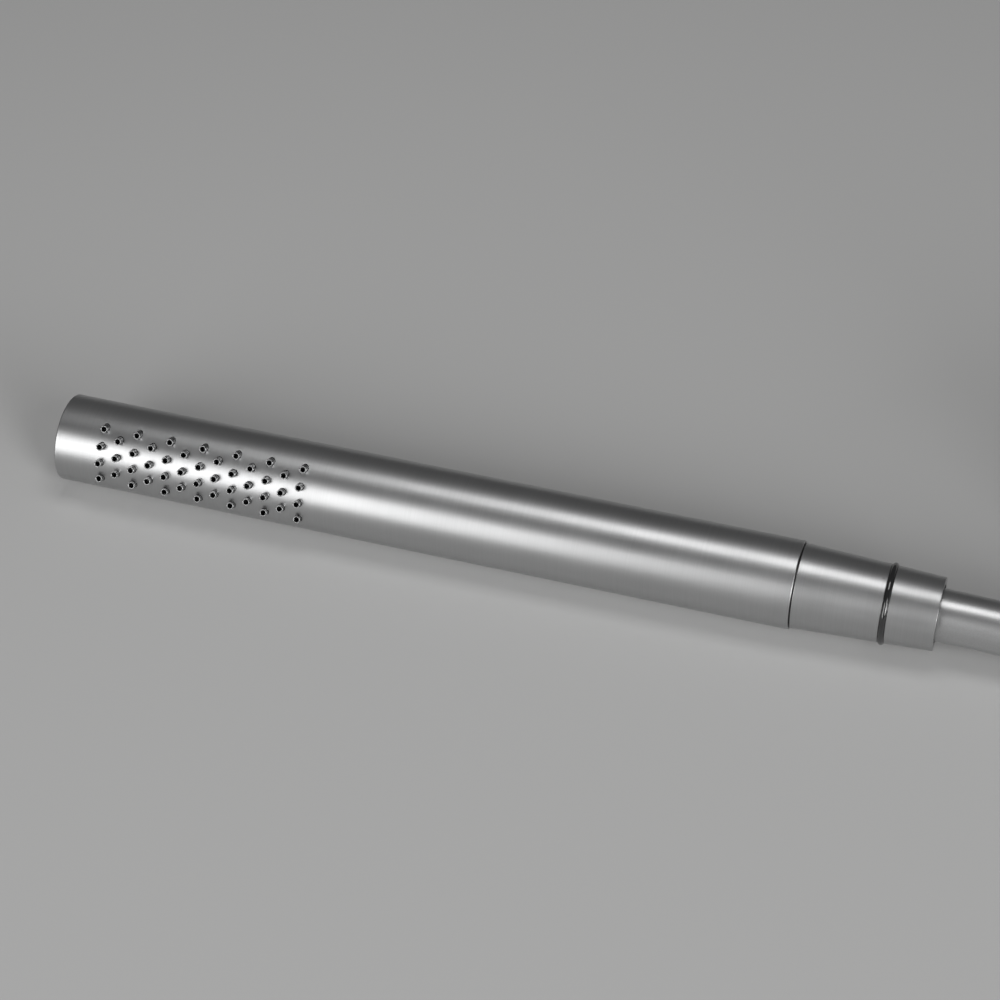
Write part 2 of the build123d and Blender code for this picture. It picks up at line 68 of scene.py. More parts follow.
# Body tube
head_x = tube_low.x
tube_end_x = tube_high.x
body_radius = (tube_high.z - tube_low.z) / 2
axis_z = (tube_high.z + tube_low.z) / 2
axis = Vector((0, 0, axis_z))
wall = 1.0 * MM
head_bevel = 0.3 * MM
tube_rim_round = 0.3 * MM
tube_segments = 512

# Nozzle field
nozzle_angle = math.radians(60.5)
nozzle_columns = 7
nozzle_rows = 7
nozzle_pitch = 10.0 * MM
nozzle_row_pitch = 2.45 * MM
first_nozzle_x = head_x + 14.3 * MM
nozzle_reach = 1.9 * MM
nozzle_radius = 1.05 * MM
nozzle_bore_radius = 0.72 * MM
nozzle_hole_radius = 1.15 * MM
nozzle_rim_round = 0.16 * MM
nozzle_support_gap = 0.1 * MM
nozzle_segments = 40
hole_segments = 48
mat_inner_radius = 10.2 * MM
nozzle_out = Vector((0, -math.sin(nozzle_angle), math.cos(nozzle_angle)))
nozzle_across = Vector((0, math.cos(nozzle_angle), math.sin(nozzle_angle)))

# Conical hose nut
cone_front_radius = 11.95 * MM
cone_end_radius = 10.3 * MM
cone_bevel = 0.15 * MM
cone_edge_round = 0.05 * MM
cone_thread_radius = 10.45 * MM
cone_thread_end_x = 99.8 * MM
bush_seat_radius = 9.95 * MM
cone_shoulder_x = 108.9 * MM
hose_bore_radius = 8.2 * MM
groove_radius = 9.8 * MM
groove_clearance = 0.05 * MM
cone_segments = 384

# Grip ring and head cap
grip_ring_steps = 32
grip_ring_segments = 256
cap_bevel = 0.5 * MM
cap_dome = 0.12 * MM
cap_steps = 8
cap_segments = 192

# Check valve's spring
spring_wire = 0.45 * MM
spring_turns = 3.5
spring_steps = 160
spring_sides = 12

# Hose, and its route and hank as they lie
hose_radius = 7.4 * MM
hose_exit = Vector((109.4, 0, 12.5)) * MM
lead_run = 46.6 * MM
near_fold_x = 224.3 * MM
far_fold_x = 345.7 * MM
fold_radius = 44.4 * MM
hank_side_y = -3.0 * MM
hank_back_y = hank_side_y + 2 * fold_radius
hank_layers = [8.7 * MM, 23.5 * MM, 38.3 * MM]
tail_run = 24.3 * MM
far_axis_z = 43.2 * MM

# A half turn has six points, 30 degrees apart, and the hose's line keeps to about this share of their radius
fold_point_count = 6
fold_point_angle = 30
fold_line_share = 0.966

# A climb to the next layer starts after the first point of a half turn and takes this many points
climb_start = 0.5
climb_points = 3.5
side_shares = (0.15, 0.5, 0.85)

# Straps round the hank, and how far their laps lie below the hank's middle or its top layer
strap_width = 11.0 * MM
strap_thickness = 1.2 * MM
strap_gap = 0.1 * MM
strap_inset = 7.0 * MM
strap_steps = 24
strap_edge_share = 0.3
strap_start_drop = 6 * MM
lap_start_drop = 9 * MM
lap_over_drop = 4 * MM
lap_end_drop = 3 * MM

# Far crimp sleeve
sleeve_clearance = 0.02 * MM
sleeve_dents = 3
sleeve_dent_depth = 0.16 * MM
sleeve_roll_share = 0.06
sleeve_roll_depth = 0.2 * MM
sleeve_steps = 60
sleeve_segments = 128

# Union nut at the hose's far end, with its half inch pipe thread
thread_length = 8.6 * MM
thread_pitch = 1.814 * MM
thread_crest = 9.32 * MM
thread_depth = 1.1 * MM
thread_step = 0.16 * MM
thread_run_out = 0.8 * MM
thread_lead_in = 0.5 * MM
thread_start_share = 0.4
union_shoulder = 3.0 * MM
union_relief = 9.7 * MM
union_bevel = [(0.0, 0.8 * MM), (0.25 * MM, 0.35 * MM), (0.8 * MM, 0.0)]
union_segments = 288
flutes = 24
flute_depth = 0.5 * MM
flute_front = 3.2 * MM
flute_back = 2.0 * MM
flute_steps = 24
flute_fade = 12
flute_power = 1.5

# How meshes are finished
corner_share = 0.45
support_gap = 0.2 * MM
merge_distance = 0.0001 * MM
sharp_angle = math.radians(40)
cut_sharp_angle = math.radians(30)

# Noise textures mostly keep between these values
noise_low = 0.3
noise_high = 0.7

# Soft boxes: place, what each faces, width, height, power in watts
soft_boxes = {
    "front_box": ((-0.62, -1.04, 0.45), (-0.12, 0, 0.12), 0.86, 0.93, 8.65),
    "top_box": ((0.005, 0.077, 0.823), (0.005, 0.077, 0), 0.43, 0.312, 1.5),
    "right_box": ((0.95, -0.95, 0.7), (0.08, 0, 0), 0.4, 1.0, 7.6),
    "side_box": ((2.55, -1.785, 0.714), (0, 0, 0), 2.04, 0.935, 35.5),
}
floor_half = 6.0
floor_tone = (0.53, 0.53, 0.527, 1)
room_tone = (0.097, 0.097, 0.0975, 1)

# Camera of the photograph
camera_place = (0.1658, -0.5532, 0.5688)
camera_right = Vector((0.9591, 0.2830, 0.0))
camera_up = Vector((-0.1947, 0.6599, 0.7256))
camera_lens = 102.48
camera_sensor = 36.0


def new_object(name, mesh, body, *materials):
    """A mesh object that rides on a body, with its materials."""
    piece = bpy.data.objects.new(name, mesh)
    bpy.context.scene.collection.objects.link(piece)
    for each in materials:
        mesh.materials.append(each)
    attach(piece, body)
    return piece


def rounded(points, radius, steps=5):
    """A closed outline with each corner replaced by an arc of about that radius."""
    outline = []
    count = len(points)
    for i in range(count):
        before, corner, after = (Vector(points[(i + k) % count]) for k in (-1, 0, 1))
        to_before = before - corner
        to_after = after - corner
        size = min(radius, corner_share * to_before.length, corner_share * to_after.length)
        start = corner + to_before.normalized() * size
        end = corner + to_after.normalized() * size
        for k in range(steps + 1):
            t = k / steps
            outline.append(start * (1 - t) ** 2 + corner * 2 * t * (1 - t) + end * t**2)
    return outline


def supported(outline, gap):
    """A closed outline with a point near both ends of each long run, which keeps small roundings crisp."""
    points = []
    for (place, radius), (next_place, next_radius) in zip(outline, outline[1:] + outline[:1]):
        points.append((place, radius))
        ahead = next_place - place
        outwards = next_radius - radius
        run = math.hypot(ahead, outwards)
        if run > 4 * gap:
            for share in (gap / run, 1 - gap / run):
                points.append((place + ahead * share, radius + outwards * share))
    return points


def turn(builder, outline, centre, along, side, segments, carve=None):
    """Turns a closed outline of (place along the axis, radius) points, its radius carved if asked."""
    up = along.cross(side)
    rings = []
    for k in range(segments):
        angle = math.tau * k / segments
        out = side * math.cos(angle) + up * math.sin(angle)
        ring = []
        for place, radius in outline:
            if carve:
                radius = carve(place, radius, angle)
            ring.append(builder.verts.new(centre + along * place + out * radius))
        rings.append(ring)
    for k in range(segments):
        ring = rings[k]
        after = rings[(k + 1) % segments]
        for i in range(len(outline)):
            j = (i + 1) % len(outline)
            builder.faces.new((ring[i], ring[j], after[j], after[i]))


def finished(builder, name):
    """The builder's mesh, smooth between its sharp edges."""
    bmesh.ops.remove_doubles(builder, verts=builder.verts, dist=merge_distance)
    bmesh.ops.recalc_face_normals(builder, faces=builder.faces)
    mesh = bpy.data.meshes.new(name)
    builder.to_mesh(mesh)
    builder.free()
    mesh.shade_smooth()
    mesh.set_sharp_from_angle(angle=sharp_angle)
    return mesh


def lathe_mesh(name, outline, centre, segments, carve=None):
    """A mesh turned about a line through the centre along the shower."""
    builder = bmesh.new()
    side = Vector((0, 1, 0))
    turn(builder, supported(outline, support_gap), Vector(centre), ALONG, side, segments, carve)
    return finished(builder, name)


# Materials


def material(name):
    """A new node material, with its nodes, links and shader."""
    made = bpy.data.materials.new(name)
    made.use_nodes = True
    nodes = made.node_tree.nodes
    return made, nodes, made.node_tree.links, nodes["Principled BSDF"]


def stretched_noise(nodes, links, scale, detail=4.0):
    """Noise in the object's own metres, stretched by a scale for each axis."""
    place = nodes.new("ShaderNodeTexCoord")
    mapping = nodes.new("ShaderNodeMapping")
    mapping.inputs["Scale"].default_value = scale
    noise = nodes.new("ShaderNodeTexNoise")
    noise.inputs["Scale"].default_value = 1.0
    noise.inputs["Detail"].default_value = detail
    links.new(place.outputs["Object"], mapping.inputs["Vector"])
    links.new(mapping.outputs["Vector"], noise.inputs["Vector"])
    return noise.outputs["Fac"]


def ranged(nodes, links, source, low, high, socket):
    """Drives a socket from a texture, between two values."""
    spread = nodes.new("ShaderNodeMapRange")
    spread.inputs["From Min"].default_value = noise_low
    spread.inputs["From Max"].default_value = noise_high
    spread.inputs["To Min"].default_value = low
    spread.inputs["To Max"].default_value = high
    links.new(source, spread.inputs["Value"])
    links.new(spread.outputs["Result"], socket)


def tinted(nodes, links, source, dark, light, socket):
    """Drives a colour socket from a texture, between two colours."""
    ramp = nodes.new("ShaderNodeValToRGB")
    ramp.color_ramp.elements[0].position = noise_low
    ramp.color_ramp.elements[0].color = (*dark, 1)
    ramp.color_ramp.elements[1].position = noise_high
    ramp.color_ramp.elements[1].color = (*light, 1)
    links.new(source, ramp.inputs["Fac"])
    links.new(ramp.outputs["Color"], socket)


def bumped(nodes, links, source, strength, depth, shader):
    """Gives a shader small relief from a texture, depth in metres."""
    bump = nodes.new("ShaderNodeBump")
    bump.inputs["Strength"].default_value = strength
    bump.inputs["Distance"].default_value = depth
    links.new(source, bump.inputs["Height"])
    links.new(bump.outputs["Normal"], shader.inputs["Normal"])


def brushed_steel(name, tone, roughness):
    """Steel brushed round the shower's axis, so that highlights spread along it."""
    made, nodes, links, shader = material(name)
    shader.inputs["Metallic"].default_value = 1.0
    shader.inputs["Anisotropic"].default_value = 0.12
    shader.inputs["Anisotropic Rotation"].default_value = 0.25
    tangent = nodes.new("ShaderNodeTangent")
    tangent.direction_type = "RADIAL"
    tangent.axis = "X"
    links.new(tangent.outputs["Tangent"], shader.inputs["Tangent"])
    hairlines = stretched_noise(nodes, links, (5200, 60, 60), detail=6.0)
    clouds = stretched_noise(nodes, links, (60, 90, 90), detail=2.0)
    dark = [c * 0.945 for c in tone]
    light = [c * 1.015 for c in tone]
    tinted(nodes, links, hairlines, dark, light, shader.inputs["Base Color"])
    ranged(nodes, links, clouds, roughness - 0.02, roughness + 0.02, shader.inputs["Roughness"])
    bumped(nodes, links, hairlines, 0.05, 0.02 * MM, shader)
    return made


def moulded(name, dark, light, roughness, specular=0.5):
    """Rubber, silicone or plastic from a mould, with fine grain and a slightly uneven sheen."""
    made, nodes, links, shader = material(name)
    shader.inputs["Specular IOR Level"].default_value = specular
    grain = stretched_noise(nodes, links, (1500, 1500, 1500))
    clouds = stretched_noise(nodes, links, (80, 80, 80), detail=2.0)
    tinted(nodes, links, clouds, dark, light, shader.inputs["Base Color"])
    ranged(nodes, links, clouds, roughness * 0.9, roughness * 1.1, shader.inputs["Roughness"])
    bumped(nodes, links, grain, 0.15, 0.01 * MM, shader)
    return made


def turned_metal(name, dark, light, roughness):
    """Turned or plated metal, with fine rings from the lathe."""
    made, nodes, links, shader = material(name)
    shader.inputs["Metallic"].default_value = 1.0
    rings = stretched_noise(nodes, links, (4000, 30, 30))
    tinted(nodes, links, rings, dark, light, shader.inputs["Base Color"])
    ranged(nodes, links, rings, roughness * 0.85, roughness * 1.15, shader.inputs["Roughness"])
    bumped(nodes, links, rings, 0.04, 0.01 * MM, shader)
    return made


def silver_hose(name, dark, light):
    """Silver film under a clear smooth jacket."""
    made, nodes, links, shader = material(name)
    shader.inputs["Metallic"].default_value = 1.0
    shader.inputs["Coat Weight"].default_value = 0.1
    shader.inputs["Coat Roughness"].default_value = 0.2
    flakes = stretched_noise(nodes, links, (2500, 2500, 2500))
    clouds = stretched_noise(nodes, links, (70, 70, 70), detail=2.0)
    tinted(nodes, links, flakes, dark, light, shader.inputs["Base Color"])
    ranged(nodes, links, clouds, 0.35, 0.38, shader.inputs["Roughness"])
    bumped(nodes, links, flakes, 0.03, 0.01 * MM, shader)
    return made


def woven_strap(name):
    """Black strap of plain weave, laid out along the strap."""
    made, nodes, links, shader = material(name)
    place = nodes.new("ShaderNodeTexCoord")
    weave = nodes.new("ShaderNodeTexBrick")
    weave.inputs["Scale"].default_value = 600.0
    weave.inputs["Color1"].default_value = (0.022, 0.022, 0.024, 1)
    weave.inputs["Color2"].default_value = (0.075, 0.075, 0.08, 1)
    weave.inputs["Mortar"].default_value = (0.006, 0.006, 0.007, 1)
    weave.inputs["Mortar Size"].default_value = 0.06
    links.new(place.outputs["UV"], weave.inputs["Vector"])
    links.new(weave.outputs["Color"], shader.inputs["Base Color"])
    shader.inputs["Roughness"].default_value = 0.85
    shader.inputs["Sheen Weight"].default_value = 0.3
    bumped(nodes, links, weave.outputs["Fac"], 0.8, 0.15 * MM, shader)
    return made


steel = brushed_steel("brushed_steel", (0.46, 0.462, 0.464), 0.378)
nozzle_steel = turned_metal("nozzle_steel", (0.3, 0.302, 0.304), (0.36, 0.362, 0.364), 0.26)
silicone = moulded("mat_silicone", (0.085, 0.088, 0.09), (0.11, 0.113, 0.116), 0.4)
rubber = moulded("black_rubber", (0.008, 0.008, 0.0085), (0.013, 0.013, 0.0135), 0.09, specular=1.0)
inner_plastic = moulded("inner_plastic", (0.68, 0.69, 0.69), (0.76, 0.77, 0.77), 0.45)
valve_plastic = moulded("valve_plastic", (0.17, 0.31, 0.55), (0.21, 0.36, 0.61), 0.4)
brass = turned_metal("turned_brass", (0.66, 0.49, 0.25), (0.74, 0.57, 0.32), 0.28)
wire = turned_metal("bright_wire", (0.52, 0.52, 0.53), (0.62, 0.62, 0.63), 0.25)
chrome = turned_metal("polished_nut", (0.54, 0.545, 0.55), (0.6, 0.605, 0.61), 0.24)
hose_film = silver_hose("hose_film", (0.47, 0.472, 0.474), (0.52, 0.522, 0.524))
strap = woven_strap("woven_strap")

node_materials = {
    "crimp_sleeve": steel,
    "end_cap_seal": rubber,
    "water_tube_seals": rubber,
    "socket_seal": rubber,
    "check_valve_seal": rubber,
    "regulator_ring": rubber,
    "hose_washer": rubber,
    "stem_seal": rubber,
    "far_washer": rubber,
    "nozzle_mat": silicone,
    "nozzle_carrier": inner_plastic,
    "water_tube": inner_plastic,
    "swivel_bush": inner_plastic,
    "check_valve_body": valve_plastic,
    "check_valve_poppet": valve_plastic,
    "flow_regulator": valve_plastic,
    "inlet_socket": steel,
    "hose_stem": brass,
    "far_stem": brass,
    "filter_screen": wire,
}
for node, finish in node_materials.items():
    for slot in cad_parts[node].material_slots:
        slot.material = finish


# Shower


def nozzle_places():
    """Centre of each nozzle: its place along the shower and its distance across the field."""
    middle = (nozzle_rows - 1) / 2
    for row in range(nozzle_rows):
        indent = row % 2
        for column in range(nozzle_columns - indent):
            yield first_nozzle_x + (column + indent / 2) * nozzle_pitch, (row - middle) * nozzle_row_pitch


def hole_cutters():
    """One mesh with a cylinder for each hole, from inside the tube to outside."""
    cutters = bmesh.new()
    aim = nozzle_out.to_track_quat("Z", "X").to_matrix().to_4x4()
    for x, across in nozzle_places():
        middle = axis + Vector((x, 0, 0)) + nozzle_across * across + nozzle_out * body_radius
        bmesh.ops.create_cone(
            cutters,
            cap_ends=True,
            segments=hole_segments,
            radius1=nozzle_hole_radius,
            radius2=nozzle_hole_radius,
            depth=body_radius,
            matrix=Matrix.Translation(middle) @ aim,
        )
    mesh = bpy.data.meshes.new("hole_cutters")
    cutters.to_mesh(mesh)
    cutters.free()
    return mesh


def set_round_normals(mesh):
    """Exact normals on the round walls, so that the cut faces shade as one cylinder."""
    nearly_radial = 0.99
    inside_wall = 0.3 * wall
    mesh.shade_smooth()
    mesh.set_sharp_from_angle(angle=cut_sharp_angle)
    normals = [Vector(n.vector) for n in mesh.corner_normals]
    for face in mesh.polygons:
        middle = face.center - axis
        radial = Vector((0, middle.y, middle.z)).normalized()
        facing = face.normal.dot(radial)
        from_mid_wall = abs(middle.yz.length - body_radius + wall / 2)
        if abs(facing) < nearly_radial or from_mid_wall < inside_wall:
            continue
        for loop in face.loop_indices:
            point = mesh.vertices[mesh.loops[loop].vertex_index].co - axis
            out = Vector((0, point.y, point.z)).normalized()
            normals[loop] = out if facing > 0 else -out
    mesh.normals_split_custom_set(normals)


def body_tube():
    """The steel tube, bevelled at the head, its rims slightly rounded, with its holes cut through."""
    outline = rounded(
        [
            (head_x, body_radius - wall),
            (head_x, body_radius - head_bevel),
            (head_x + head_bevel, body_radius),
            (tube_end_x, body_radius),
            (tube_end_x, body_radius - wall),
        ],
        tube_rim_round,
    )
    blank = lathe_mesh("tube_blank", outline, axis, tube_segments)
    holder = bpy.data.objects.new("tube_blank", blank)
    cutter = bpy.data.objects.new("hole_cutters", hole_cutters())
    for each in (holder, cutter):
        bpy.context.scene.collection.objects.link(each)
    cut = holder.modifiers.new("holes", "BOOLEAN")
    cut.operation = "DIFFERENCE"
    cut.solver = "EXACT"
    cut.object = cutter
    drilled = holder.evaluated_get(bpy.context.evaluated_depsgraph_get())
    mesh = bpy.data.meshes.new_from_object(drilled)
    bpy.data.objects.remove(holder)
    bpy.data.objects.remove(cutter)
    mesh.name = "steel_tube"
    mesh.materials.clear()
    set_round_normals(mesh)
    piece = new_object("steel_tube", mesh, "shower", steel)
    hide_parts("body_tube")


def nozzle_tubes():
    """Steel tubes that stand through the holes, with rounded rims."""
    field = bmesh.new()
    r = nozzle_rim_round
    turns = [math.radians(d) for d in (0, 22.5, 45, 67.5, 90)]
    for x, across in nozzle_places():
        base = axis + Vector((x, 0, 0)) + nozzle_across * across
        root = math.sqrt(mat_inner_radius**2 - across**2)
        tip = math.sqrt(body_radius**2 - across**2) + nozzle_reach
        rim = [(tip - r * (1 - math.sin(a)), nozzle_radius - r * (1 - math.cos(a))) for a in turns]
        lip = [(tip - r * (1 - math.cos(a)), nozzle_bore_radius + r * (1 - math.sin(a))) for a in turns]
        outline = [(root, nozzle_radius)] + rim + lip + [(root, nozzle_bore_radius)]
        turn(field, supported(outline, nozzle_support_gap), base, nozzle_out, ALONG, nozzle_segments)
    mesh = finished(field, "nozzle_field")
    piece = new_object("nozzle_field", mesh, "shower", nozzle_steel)
    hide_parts("nozzle_tubes")


def hose_nut():
    """The conical nut: bevelled front edge, groove for the grip ring, crisp hose end."""
    ring_x = (ring_low.x + ring_high.x) / 2
    ring_half = (ring_high.x - ring_low.x) / 2 + groove_clearance
    slope = (cone_front_radius - cone_end_radius) / (nut_high.x - nut_low.x)

    def cone(x):
        return cone_front_radius - slope * (x - nut_low.x)

    outline = rounded(
        [
            (nut_low.x, cone_thread_radius),
            (nut_low.x, cone_front_radius - cone_bevel),
            (nut_low.x + cone_bevel, cone_front_radius),
            (ring_x - ring_half, cone(ring_x - ring_half)),
            (ring_x - ring_half, groove_radius),
            (ring_x + ring_half, groove_radius),
            (ring_x + ring_half, cone(ring_x + ring_half)),
            (nut_high.x, cone_end_radius),
            (nut_high.x, hose_bore_radius),
            (cone_shoulder_x, hose_bore_radius),
            (cone_shoulder_x, bush_seat_radius),
            (cone_thread_end_x, bush_seat_radius),
            (cone_thread_end_x, cone_thread_radius),
        ],
        cone_edge_round,
        steps=4,
    )
    mesh = lathe_mesh("hose_nut", outline, axis, cone_segments)
    piece = new_object("hose_nut", mesh, "shower", steel)
    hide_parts("cone_nut")


def grip_ring():
    """The rubber ring in the nut's groove."""
    section = (ring_high.x - ring_low.x) / 2
    centre_x = (ring_low.x + ring_high.x) / 2
    centre_radius = (ring_high.z - ring_low.z) / 2 - section
    turns = [math.tau * k / grip_ring_steps for k in range(grip_ring_steps)]
    outline = [(centre_x + section * math.cos(a), centre_radius + section * math.sin(a)) for a in turns]
    mesh = lathe_mesh("grip_ring", outline, axis, grip_ring_segments)
    piece = new_object("grip_ring", mesh, "shower", rubber)
    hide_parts("grip_o_ring")


def head_cap():
    """The turned cap that closes the head, bevelled at its rim and very slightly domed."""
    rim = (cap_high.z - cap_low.z) / 2
    shares = [k / cap_steps for k in range(cap_steps + 1)]
    front = [(cap_low.x + cap_dome * share**2, (rim - cap_bevel) * share) for share in shares]
    back = [(cap_low.x + cap_dome + cap_bevel, rim), (cap_high.x, rim), (cap_high.x, 0)]
    mesh = lathe_mesh("head_cap", front + back, axis, cap_segments)
    piece = new_object("head_cap", mesh, "shower", steel)
    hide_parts("head_end_cap")


def valve_spring():
    """The check valve's wire spring, which shortens as the poppet slides towards the head."""
    wire_radius = spring_wire / 2
    coil_radius = (spring_high.z - spring_low.z) / 2 - wire_radius
    start_x = spring_low.x + wire_radius
    length = spring_high.x - spring_low.x - spring_wire
    rise = Vector((length / (math.tau * spring_turns), 0, 0))
    turns = [math.tau * i / spring_sides for i in range(spring_sides)]
    coil = bmesh.new()
    rings = []
    for k in range(spring_steps + 1):
        angle = math.tau * spring_turns * k / spring_steps
        out = Vector((0, math.cos(angle), math.sin(angle)))
        round_axis = Vector((0, -math.sin(angle), math.cos(angle)))
        across = (round_axis * coil_radius + rise).cross(out).normalized()
        middle = axis + Vector((start_x + length * k / spring_steps, 0, 0)) + out * coil_radius
        section = [(out * math.cos(a) + across * math.sin(a)) * wire_radius for a in turns]
        rings.append([coil.verts.new(middle + offset) for offset in section])
    for ring, after in zip(rings, rings[1:]):
        for i in range(spring_sides):
            j = (i + 1) % spring_sides
            coil.faces.new((ring[i], ring[j], after[j], after[i]))
    coil.faces.new(rings[0])
    coil.faces.new(rings[-1])
    piece = new_object("valve_spring", finished(coil, "valve_spring"), "shower", wire)
    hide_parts("check_valve_spring")
    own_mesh(piece)


# Far end of the hose


def far_sleeve():
    """The far crimp sleeve, with the rings that its pressing leaves."""
    inner = hose_radius + sleeve_clearance
    outer = (sleeve_high.z - sleeve_low.z) / 2
    length = sleeve_high.x - sleeve_low.x
    outside = []
    for k in range(sleeve_steps + 1):
        t = k / sleeve_steps
        dent = max(0.0, math.cos(math.tau * (sleeve_dents * t + 0.5))) ** 3
        roll = max(0.0, abs(2 * t - 1) - (1 - sleeve_roll_share)) / sleeve_roll_share
        radius = outer - sleeve_dent_depth * dent - sleeve_roll_depth * roll**2
        outside.append((sleeve_low.x + length * t, radius))
    outline = outside + [(sleeve_high.x, inner), (sleeve_low.x, inner)]
    centre = (0, (sleeve_high.y + sleeve_low.y) / 2, (sleeve_high.z + sleeve_low.z) / 2)
    mesh = lathe_mesh("far_sleeve", outline, centre, sleeve_segments)
    piece = new_object("far_sleeve", mesh, "hose", steel)
    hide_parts("far_crimp_sleeve")
    return piece


def union_nut():
    """The far union nut: fluted grip, bevelled ends, and the thread in its mouth."""
    rim = (far_nut_high.z - far_nut_low.z) / 2
    mouth_x = far_nut_low.x
    back_x = far_nut_high.x
    relief_x = mouth_x + thread_length
    shoulder_x = back_x - union_shoulder
    grip_x = mouth_x + flute_front
    grip_length = back_x - flute_back - grip_x
    grip = [(grip_x + grip_length * k / flute_steps, rim) for k in range(flute_steps + 1)]
    mouth = [(mouth_x + along, rim - inwards) for along, inwards in union_bevel]
    back = [(back_x - along, rim - inwards) for along, inwards in reversed(union_bevel)]
    bore = [
        (back_x, hose_bore_radius),
        (shoulder_x, hose_bore_radius),
        (shoulder_x, union_relief),
        (relief_x, union_relief),
    ]
    steps = int(thread_length / thread_step)
    thread = [(relief_x - thread_length * k / steps, thread_crest) for k in range(steps + 1)]
    thread_limit = union_relief - 0.2 * MM
    flute_limit = rim - 0.1 * MM

    def carve(place, radius, angle):
        if place <= relief_x and radius < thread_limit:
            wave = (place / thread_pitch + angle / math.tau) % 1.0
            run_out = (relief_x - place) / thread_run_out
            lead_in = (place - mouth_x) / thread_lead_in + thread_start_share
            return radius + thread_depth * abs(2 * wave - 1) * max(0.0, min(1.0, run_out, lead_in))
        if radius > flute_limit and grip[0][0] <= place <= grip[-1][0]:
            along = (place - grip[0][0]) / (grip[-1][0] - grip[0][0])
            fade = min(1.0, flute_fade * along, flute_fade * (1 - along))
            return radius - flute_depth * fade * (0.5 + 0.5 * math.cos(flutes * angle)) ** flute_power
        return radius

    centre = (0, (far_nut_high.y + far_nut_low.y) / 2, (far_nut_high.z + far_nut_low.z) / 2)
    mesh = lathe_mesh("union_nut", mouth + grip + back + bore + thread, centre, union_segments, carve)
    piece = new_object("union_nut", mesh, "far_nut", chrome)
    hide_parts("far_nut")
    return piece


def strap_band(builder, weave, x, points):
    """A flat band that follows points in the plane across the hank, laid on their outer side."""
    count = len(points)
    edge = strap_edge_share * strap_thickness
    half = strap_width / 2
    section = [
        (-half, edge),
        (-half + edge, 0),
        (half - edge, 0),
        (half, edge),
        (half, strap_thickness - edge),
        (half - edge, strap_thickness),
        (-half + edge, strap_thickness),
        (-half, strap_thickness - edge),
    ]
    rings = []
    run = [0.0]
    for k in range(count):
        here = points[k]
        ahead = points[min(k + 1, count - 1)] - points[max(k - 1, 0)]
        out = Vector((0, ahead.z, -ahead.y)).normalized()
        ring = [here + out * rise + Vector((x + side, 0, 0)) for side, rise in section]
        rings.append([builder.verts.new(place) for place in ring])
        if k:
            run.append(run[-1] + (here - points[k - 1]).length)
    for k in range(count - 1):
        for i in range(len(section)):
            j = (i + 1) % len(section)
            face = builder.faces.new((rings[k][i], rings[k][j], rings[k + 1][j], rings[k + 1][i]))
            corners = [(k, i), (k, j), (k + 1, j), (k + 1, i)]
            for loop, (ring_index, section_index) in zip(face.loops, corners):
                side, rise = section[section_index]
                loop[weave].uv = (run[ring_index], side + rise)
    builder.faces.new(rings[0])
    builder.faces.new(rings[-1])


def hank_straps():
    """Two woven straps round the hank, each lapped over itself on the side towards the hank's middle."""
    straps = bmesh.new()
    weave = straps.loops.layers.uv.new("strap")
    reach = hose_radius + strap_gap
    lap = reach + strap_thickness
    low_z = hank_layers[0]
    high_z = hank_layers[-1]
    mid_z = (low_z + high_z) / 2
    half_turn = [math.pi * k / strap_steps for k in range(strap_steps + 1)]
    places = [
        ((near_fold_x + far_fold_x) / 2, hank_side_y, 1),
        (far_fold_x - strap_inset, hank_back_y, -1),
    ]
    for x, y, inward in places:
        path = [Vector((0, y + inward * reach, mid_z - strap_start_drop))]
        for start, z in ((0, high_z), (math.pi, low_z)):
            for angle in half_turn:
                across = inward * reach * math.cos(start + angle)
                path.append(Vector((0, y + across, z + reach * math.sin(start + angle))))
        path.append(Vector((0, y + inward * reach, mid_z - lap_start_drop)))
        path.append(Vector((0, y + inward * lap, mid_z - lap_over_drop)))
        path.append(Vector((0, y + inward * lap, high_z - lap_end_drop)))
        if inward < 0:
            path.reverse()
        strap_band(straps, weave, x, path)
    mesh = finished(straps, "hank_straps")
    piece = new_object("hank_straps", mesh, "hose", strap)
    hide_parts("hank_ties")
    return piece


# Hose with its put-away hank


def fold_points(centre_x, start_degrees, low, high):
    """Points round a half turn of the hank, climbing from one layer to another on the way."""
    radius = fold_radius / fold_line_share
    centre_y = hank_side_y + fold_radius
    points = []
    for k in range(fold_point_count):
        angle = math.radians(start_degrees + fold_point_angle * (k + 0.5))
        climb = min(1.0, max(0.0, (k - climb_start) / climb_points))
        climb = climb * climb * (3 - 2 * climb)
        x = centre_x + radius * math.cos(angle)
        y = centre_y + radius * math.sin(angle)
        points.append((x, y, low + (high - low) * climb))
    return points


def side_points(y, start_x, end_x, z):
    """Points along a straight side of the hank."""
    return [(start_x + (end_x - start_x) * share, y, z) for share in side_shares]


def hose_route():
    """The hose's points from the nut to its far end."""
    floor_z = hank_layers[0]
    top_z = hank_layers[-1]
    points = [
        tuple(hose_exit),
        (hose_exit.x + lead_run, hose_exit.y, hose_exit.z),
        (hose_exit.x + 2 * lead_run, hank_side_y, floor_z),
        (hose_exit.x + 3 * lead_run, hank_side_y, floor_z),
    ]
    for layer, z in enumerate(hank_layers):
        if layer:
            points += side_points(hank_side_y, near_fold_x, far_fold_x, z)
        points += fold_points(far_fold_x, -90, z, z)
        if layer + 1 < len(hank_layers):
            points += side_points(hank_back_y, far_fold_x, near_fold_x, z)
            points += fold_points(near_fold_x, 90, z, hank_layers[layer + 1])
    points += [
        (far_fold_x, hank_back_y, top_z),
        (far_fold_x - tail_run, hank_back_y, top_z),
        (far_fold_x - 2 * tail_run, hank_back_y, far_axis_z),
        (far_fold_x - 3 * tail_run, hank_back_y, far_axis_z),
    ]
    return points


